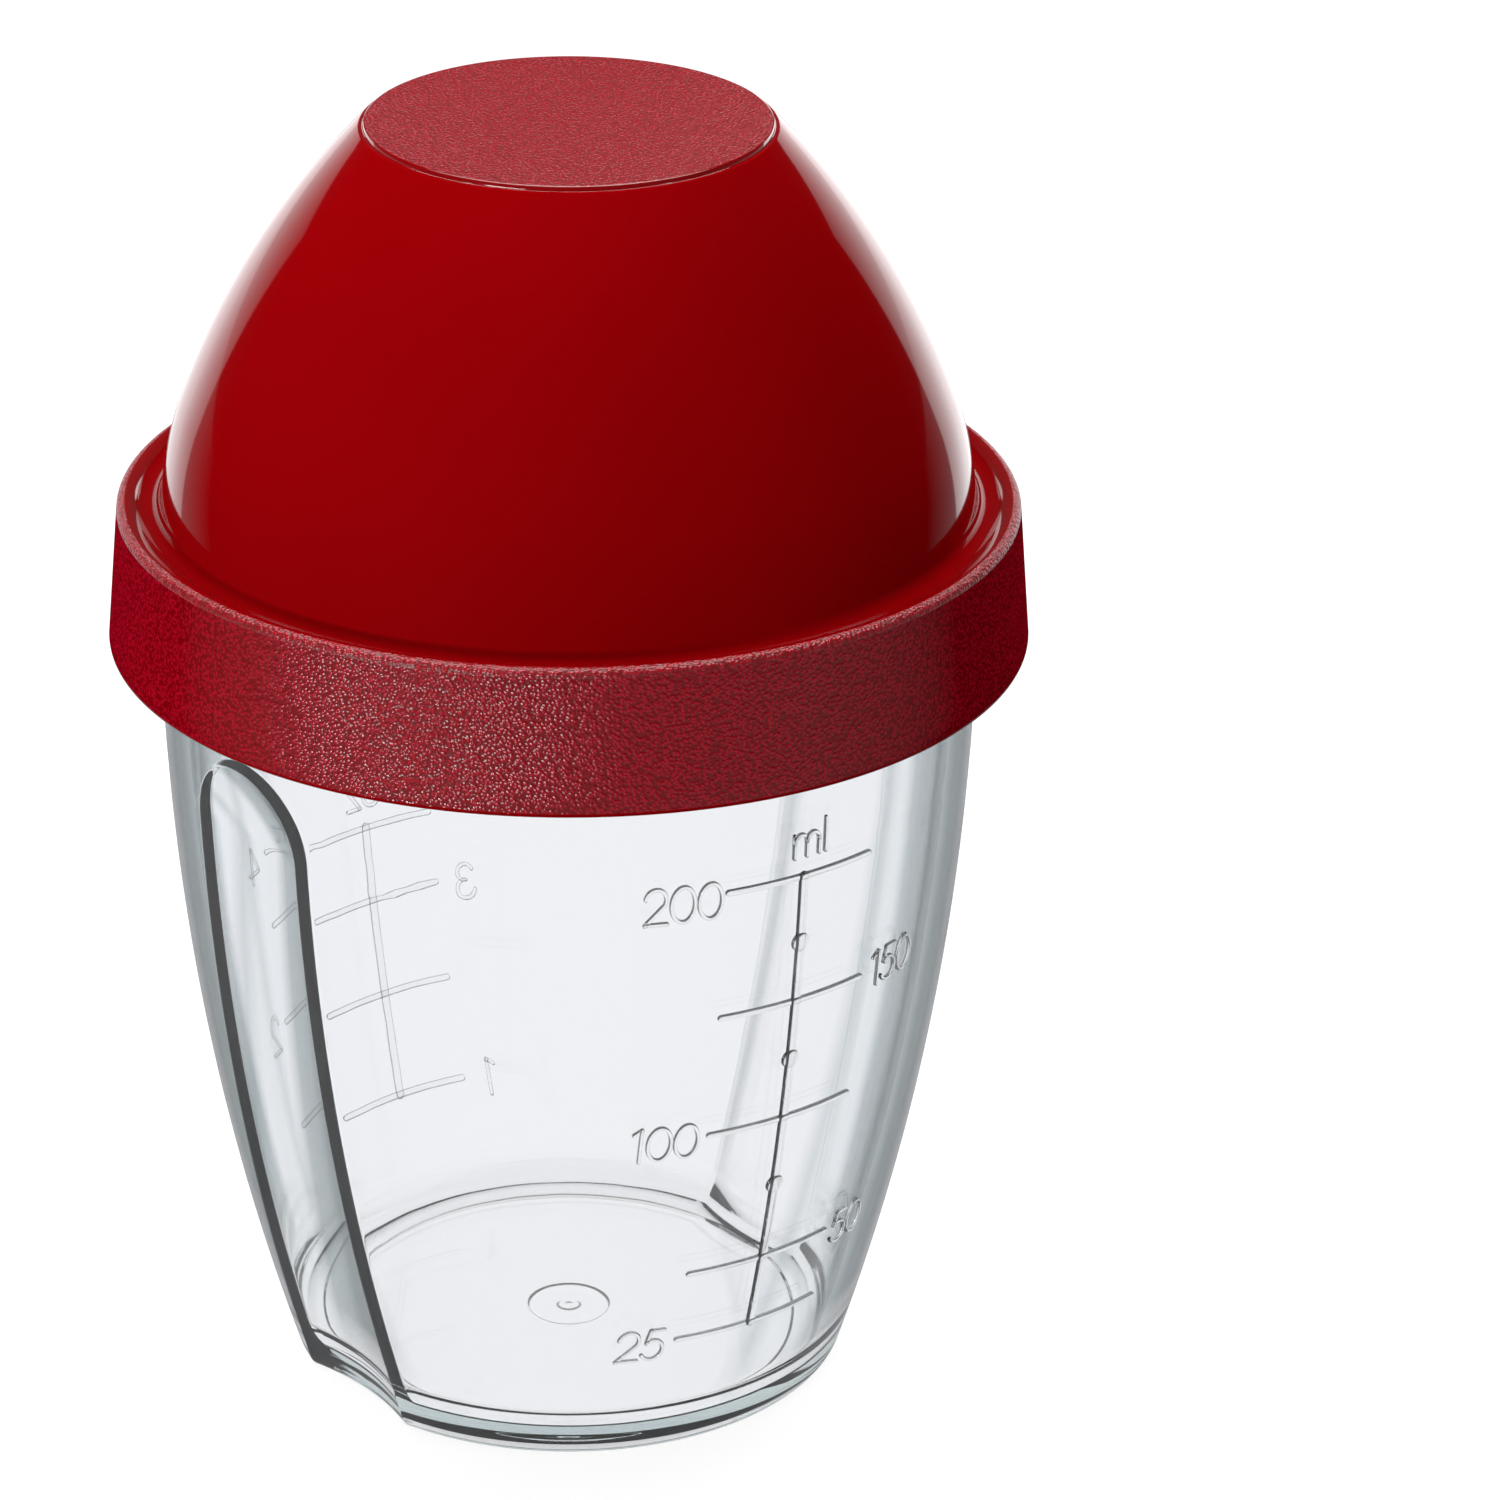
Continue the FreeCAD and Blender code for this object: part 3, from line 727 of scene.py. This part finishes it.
def edge_on(tree):
    """A value that goes from 0 where a surface is seen face on to 1 where it is seen edge on."""
    return node(tree, "ShaderNodeLayerWeight", Blend=0.5).outputs["Facing"]


def height_of(tree, place):
    """The Z of a place."""
    split = tree.nodes.new("ShaderNodeSeparateXYZ")
    tree.links.new(place, split.inputs[0])
    return split.outputs["Z"]


def worked(tree, operation, first, second):
    """Two values, each a socket or a number, worked into one."""
    made = node(tree, "ShaderNodeMath", operation=operation)
    for value, socket in zip((first, second), made.inputs):
        if isinstance(value, float):
            socket.default_value = value
        else:
            tree.links.new(value, socket)
    return made.outputs[0]


def clear_plastic(name, edge_shades):
    """Polished clear styrene with a slight haze and faint flow marks. Above its base a ramp paints shade
    into its colour where it is seen edge on. Sockets 0, 6 and 7 of the mix are its share and its two
    colours."""
    material, tree, shader, place = new_material(name)
    shader.inputs["Transmission Weight"].default_value = 0.98
    shader.inputs["IOR"].default_value = 1.57
    # Painted shade: the ramp darkens the colour where the wall is seen edge on
    tone = node(tree, "ShaderNodeMix", data_type="RGBA")
    tree.links.new(span(tree, height_of(tree, place), 0.0, 1.0, EDGE_SHADE_OFF_TO, EDGE_SHADE_FULL_FROM), tone.inputs[0])
    tone.inputs[6].default_value = (1, 1, 1, 1)
    tree.links.new(ramp(tree, edge_on(tree), edge_shades), tone.inputs[7])
    tree.links.new(tone.outputs[2], shader.inputs["Base Color"])
    flow = noise(tree, place, scale=90, detail=2)
    tree.links.new(span(tree, flow, 0.0, 0.02), shader.inputs["Roughness"])
    bump(tree, shader, flow, strength=0.05, distance=0.0002)
    tint = node(tree, "ShaderNodeVolumeAbsorption", Color=(0.62, 0.72, 0.73, 1), Density=25)
    tree.links.new(tint.outputs["Volume"], tree.nodes["Material Output"].inputs["Volume"])
    return material


def moulded_red(name, shine, front_gloss, edge_gloss):
    """Moulded red: a deep colour that varies a little, a faint orange peel, and a coat that shows where it
    is seen edge on."""
    material, tree, shader, place = new_material(name)
    cloud = noise(tree, place, scale=40, detail=3)
    tone = ramp(tree, cloud, ((0.3, (0.255, 0.0003, 0.0015)), (0.7, (0.275, 0.0006, 0.002))))
    tree.links.new(tone, shader.inputs["Base Color"])
    peel = noise(tree, place, scale=350, detail=1)
    tree.links.new(span(tree, peel, 0.06, 0.12), shader.inputs["Roughness"])
    bump(tree, shader, peel, strength=0.03, distance=0.0003)
    shader.inputs["Specular IOR Level"].default_value = shine
    coat = span(tree, edge_on(tree), front_gloss, edge_gloss, start=0.52, end=0.78)
    tree.links.new(coat, shader.inputs["Coat Weight"])
    shader.inputs["Coat Roughness"].default_value = 0.06
    shader.inputs["Coat IOR"].default_value = 1.6
    return material


def grain_red(name, shine, glitter):
    """Red with a fine moulded grain: pebbles of a third of a millimetre, with a painted highlight that makes
    them lighter on their crowns and painted shade that makes them darker between them, under a
    coat that glitters where it is seen face on and fades out edge on."""
    material, tree, shader, place = new_material(name)
    pebble = node(tree, "ShaderNodeTexVoronoi", Scale=2900, Randomness=1.0)
    tree.links.new(place, pebble.inputs["Vector"])
    crown = span(tree, pebble.outputs["Distance"], 1.0, 0.0, end=0.8)
    # Painted highlight and shade: the colour is lighter on the pebbles' crowns and darker between them
    tone = ramp(tree, crown, ((0.2, (0.2, 0.0005, 0.004)), (0.65, (0.42, 0.003, 0.016))))
    tree.links.new(tone, shader.inputs["Base Color"])
    tree.links.new(span(tree, crown, 0.45, 0.16), shader.inputs["Roughness"])
    normal = bump(tree, shader, crown, strength=1.0, distance=0.00009)
    shader.inputs["Specular IOR Level"].default_value = shine
    coat = span(tree, edge_on(tree), glitter, 0.0, start=0.2, end=0.5)
    tree.links.new(coat, shader.inputs["Coat Weight"])
    tree.links.new(normal, shader.inputs["Coat Normal"])
    shader.inputs["Coat Roughness"].default_value = 0.22
    shader.inputs["Coat IOR"].default_value = 1.6
    return material


def soft_silicone():
    """Matt pale silicone with a slight bloom."""
    material, tree, shader, place = new_material("soft_silicone")
    bloom = noise(tree, place, scale=600, detail=4)
    tone = ramp(tree, bloom, ((0.0, (0.70, 0.69, 0.66)), (1.0, (0.80, 0.79, 0.76))))
    tree.links.new(tone, shader.inputs["Base Color"])
    tree.links.new(span(tree, bloom, 0.5, 0.65), shader.inputs["Roughness"])
    bump(tree, shader, bloom, strength=0.15, distance=0.00005)
    return material


def white_floor():
    """Matt floor with a glow for the camera, so that it reads as white and keeps the bottle's shadow. Seen
    through clear plastic it is plain white, and in reflections it is plain grey."""
    material = bpy.data.materials.new("floor_white")
    material.use_nodes = True
    tree = material.node_tree
    tree.nodes.remove(tree.nodes["Principled BSDF"])
    path = tree.nodes.new("ShaderNodeLightPath").outputs
    through = path["Is Transmission Ray"]
    mirrored = path["Is Glossy Ray"]
    paint = node(tree, "ShaderNodeBsdfDiffuse", Color=FLOOR_PAINT)
    glow = node(tree, "ShaderNodeEmission", Color=(1, 1, 1, 1))
    tree.links.new(worked(tree, "MULTIPLY", path["Is Camera Ray"], FLOOR_GLOW), glow.inputs["Strength"])
    direct = tree.nodes.new("ShaderNodeAddShader")
    tree.links.new(paint.outputs[0], direct.inputs[0])
    tree.links.new(glow.outputs[0], direct.inputs[1])
    plain = node(tree, "ShaderNodeEmission", Color=FLOOR_THROUGH)
    grey = worked(tree, "MULTIPLY", mirrored, FLOOR_MIRRORED)
    tree.links.new(worked(tree, "MAXIMUM", through, grey), plain.inputs["Strength"])
    pick = tree.nodes.new("ShaderNodeMixShader")
    tree.links.new(worked(tree, "MAXIMUM", through, mirrored), pick.inputs[0])
    tree.links.new(direct.outputs[0], pick.inputs[1])
    tree.links.new(plain.outputs[0], pick.inputs[2])
    tree.links.new(pick.outputs[0], tree.nodes["Material Output"].inputs["Surface"])
    return material


def lay_floor():
    """A square floor just below the bottle's foot."""
    corners = [(x * FLOOR_HALF, y * FLOOR_HALF, FLOOR_UP) for x, y in ((-1, -1), (1, -1), (1, 1), (-1, 1))]
    mesh = bpy.data.meshes.new("floor")
    mesh.from_pydata(corners, [], [(0, 1, 2, 3)])
    mesh.materials.append(white_floor())
    floor = bpy.data.objects.new("floor", mesh)
    bpy.context.scene.collection.objects.link(floor)


def set_world():
    """A world that is white to the camera and through clear plastic. Otherwise it is a faint light that
    fades overhead."""
    world = bpy.data.worlds.new("studio")
    bpy.context.scene.world = world
    world.use_nodes = True
    tree = world.node_tree
    background = tree.nodes["Background"]
    background.inputs["Color"].default_value = (1, 1, 1, 1)
    place = tree.nodes.new("ShaderNodeTexCoord")
    faint = span(tree, height_of(tree, place.outputs["Generated"]), WORLD_LOW, WORLD_HIGH, *WORLD_FADE)
    faint.node.interpolation_type = "SMOOTHSTEP"
    path = tree.nodes.new("ShaderNodeLightPath").outputs
    seen = worked(tree, "MAXIMUM", path["Is Camera Ray"], path["Is Transmission Ray"])
    level = node(tree, "ShaderNodeMix")
    tree.links.new(seen, level.inputs["Factor"])
    tree.links.new(faint, level.inputs["A"])
    level.inputs["B"].default_value = 1.0
    tree.links.new(level.outputs["Result"], background.inputs["Strength"])


def aim(thing, bearing, rise, distance):
    """Put a lamp or the camera at a bearing, a rise and a distance from the bottle's middle, facing it."""
    away = Vector((math.cos(rise) * math.cos(bearing), math.cos(rise) * math.sin(bearing), math.sin(rise)))
    thing.location = CAMERA_AIM + away * distance
    thing.rotation_euler = (-away).to_track_quat("-Z", "Y").to_euler()
    bpy.context.scene.collection.objects.link(thing)


def hang_boxes():
    """Soft boxes that light the bottle and are never seen directly."""
    for name, bearing, rise, distance, sides, power, mirrored in SOFT_BOXES:
        light = bpy.data.lights.new(name, "AREA")
        light.shape = "RECTANGLE"
        light.size = sides[0]
        light.size_y = sides[1]
        light.energy = power
        lamp = bpy.data.objects.new(name, light)
        lamp.visible_camera = False
        lamp.visible_transmission = False
        lamp.visible_glossy = mirrored
        aim(lamp, CAMERA_BEARING + math.radians(bearing), math.radians(rise), distance)


def photo_camera():
    """Camera at the photograph's angle, its frame moved sideways so that the bottle stands left of the
    middle."""
    data = bpy.data.cameras.new("camera")
    data.lens = CAMERA_LENS
    data.sensor_width = CAMERA_SENSOR
    data.shift_x = CAMERA_SHIFT
    data.clip_start = 0.01
    data.clip_end = 20
    camera = bpy.data.objects.new("camera", data)
    aim(camera, CAMERA_BEARING, CAMERA_RISE, CAMERA_DISTANCE)
    bpy.context.scene.camera = camera


clear = clear_plastic("clear_plastic", CUP_TINT_AND_EDGE_SHADE)
marks = clear_plastic("clear_marks", MARK_EDGE_SHADE)
red = moulded_red("gloss_red", shine=0.0, front_gloss=0.0, edge_gloss=1.0)
polished = moulded_red("polished_red", shine=0.5, front_gloss=0.4, edge_gloss=1.0)
# Both grained reds carry the painted highlight on the pebbles' crowns and the painted shade between them
pebbled = grain_red("grain_red", shine=0.0, glitter=0.62)
plain_pebbled = grain_red("edge_red", shine=0.65, glitter=0.0)

cup = make_cup(clear)
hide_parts("cup")
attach(cup, "cup")

lid = make_lid((red, pebbled, polished, plain_pebbled))
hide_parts("lid")
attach(lid, "lid")

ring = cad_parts["sealing_ring"].data
ring.materials.clear()
ring.materials.append(soft_silicone())

neck_thread = make_thread("neck_thread", NECK_RADIUS, NECK_RADIUS + NECK_RIDGE, NECK_THREAD_UP, 0, clear)
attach(neck_thread, "cup")

skirt_thread = make_thread(
    "skirt_thread", SKIRT_ROOT, SKIRT_BORE - SKIRT_RIDGE, SKIRT_THREAD_UP, SKIRT_THREAD_TURN, red)
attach(skirt_thread, "lid")

for scale in (
    make_scale("scale_ml", ML_LINES, ML_DOTS, ML_LABELS, ML_UNIT, ML_BEARING, MARK_RISE, marks),
    make_scale("scale_oz", OZ_LINES, (), OZ_LABELS, OZ_UNIT, OZ_BEARING, OZ_RISE, marks),
):
    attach(scale, "cup")

lay_floor()
set_world()
hang_boxes()
photo_camera()
bpy.context.scene.view_settings.view_transform = "Standard"
